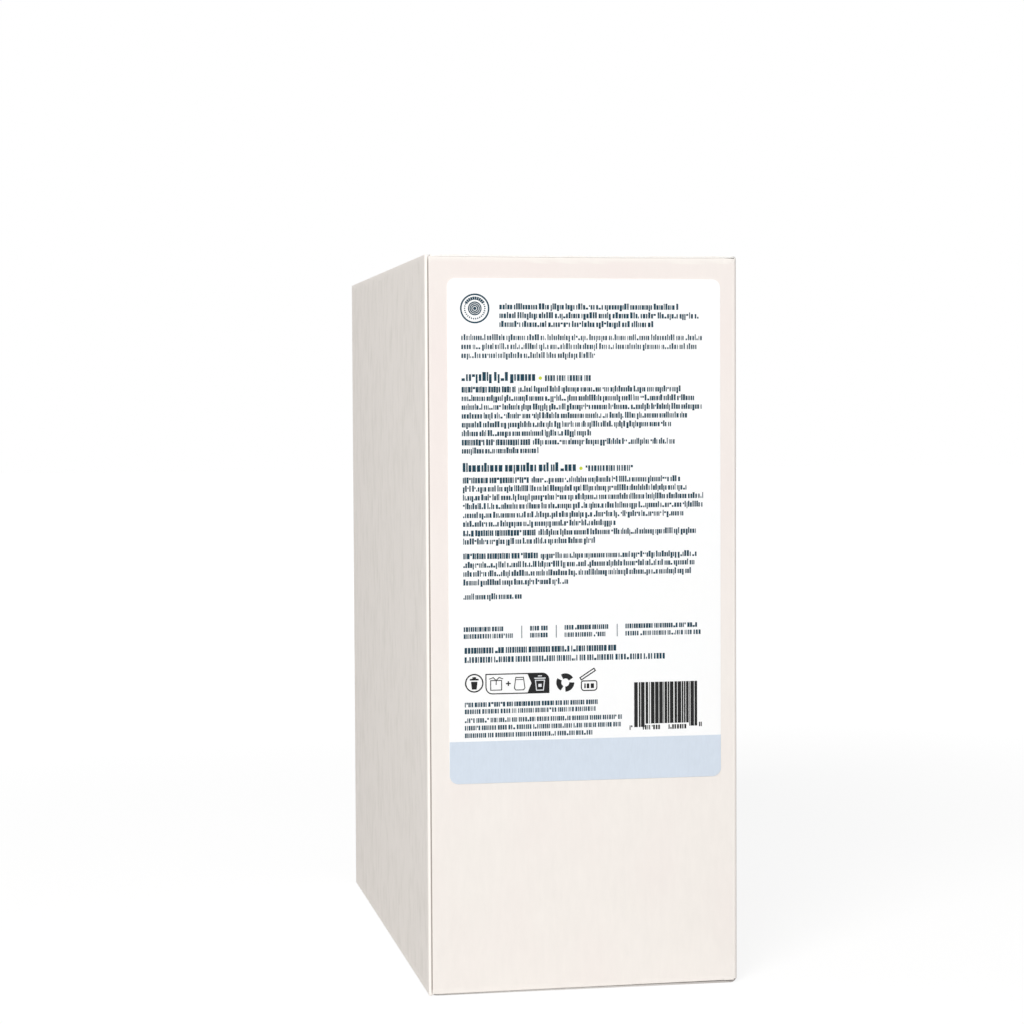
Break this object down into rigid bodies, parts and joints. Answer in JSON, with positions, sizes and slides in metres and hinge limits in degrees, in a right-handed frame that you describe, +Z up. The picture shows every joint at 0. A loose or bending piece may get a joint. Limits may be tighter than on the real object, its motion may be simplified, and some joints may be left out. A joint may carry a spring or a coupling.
{
  "type": "hand soap refill pack",
  "caption": "Sealed upright bag-in-box carton with glued end flaps, a perforated tap tab on the hidden narrow panel and a paper label with rounded corners on the front one.",
  "frame": {"origin": "middle of the underside of the bottom flap", "axes": "+Z up along the carton's height, -Y out of the labelled narrow panel, +X towards the wide panel that the end flaps are hinged on"},
  "size_m": [0.086, 0.1681, 0.2],
  "materials": {
    "cream_board": "uncoated cream folding board with faint fibre mottling",
    "label_paper": "smooth white label paper, satin"
  },
  "bodies": {
    "root": {"carton": "cream_board", "directions_label": "label_paper"}
  },
  "joints": []
}
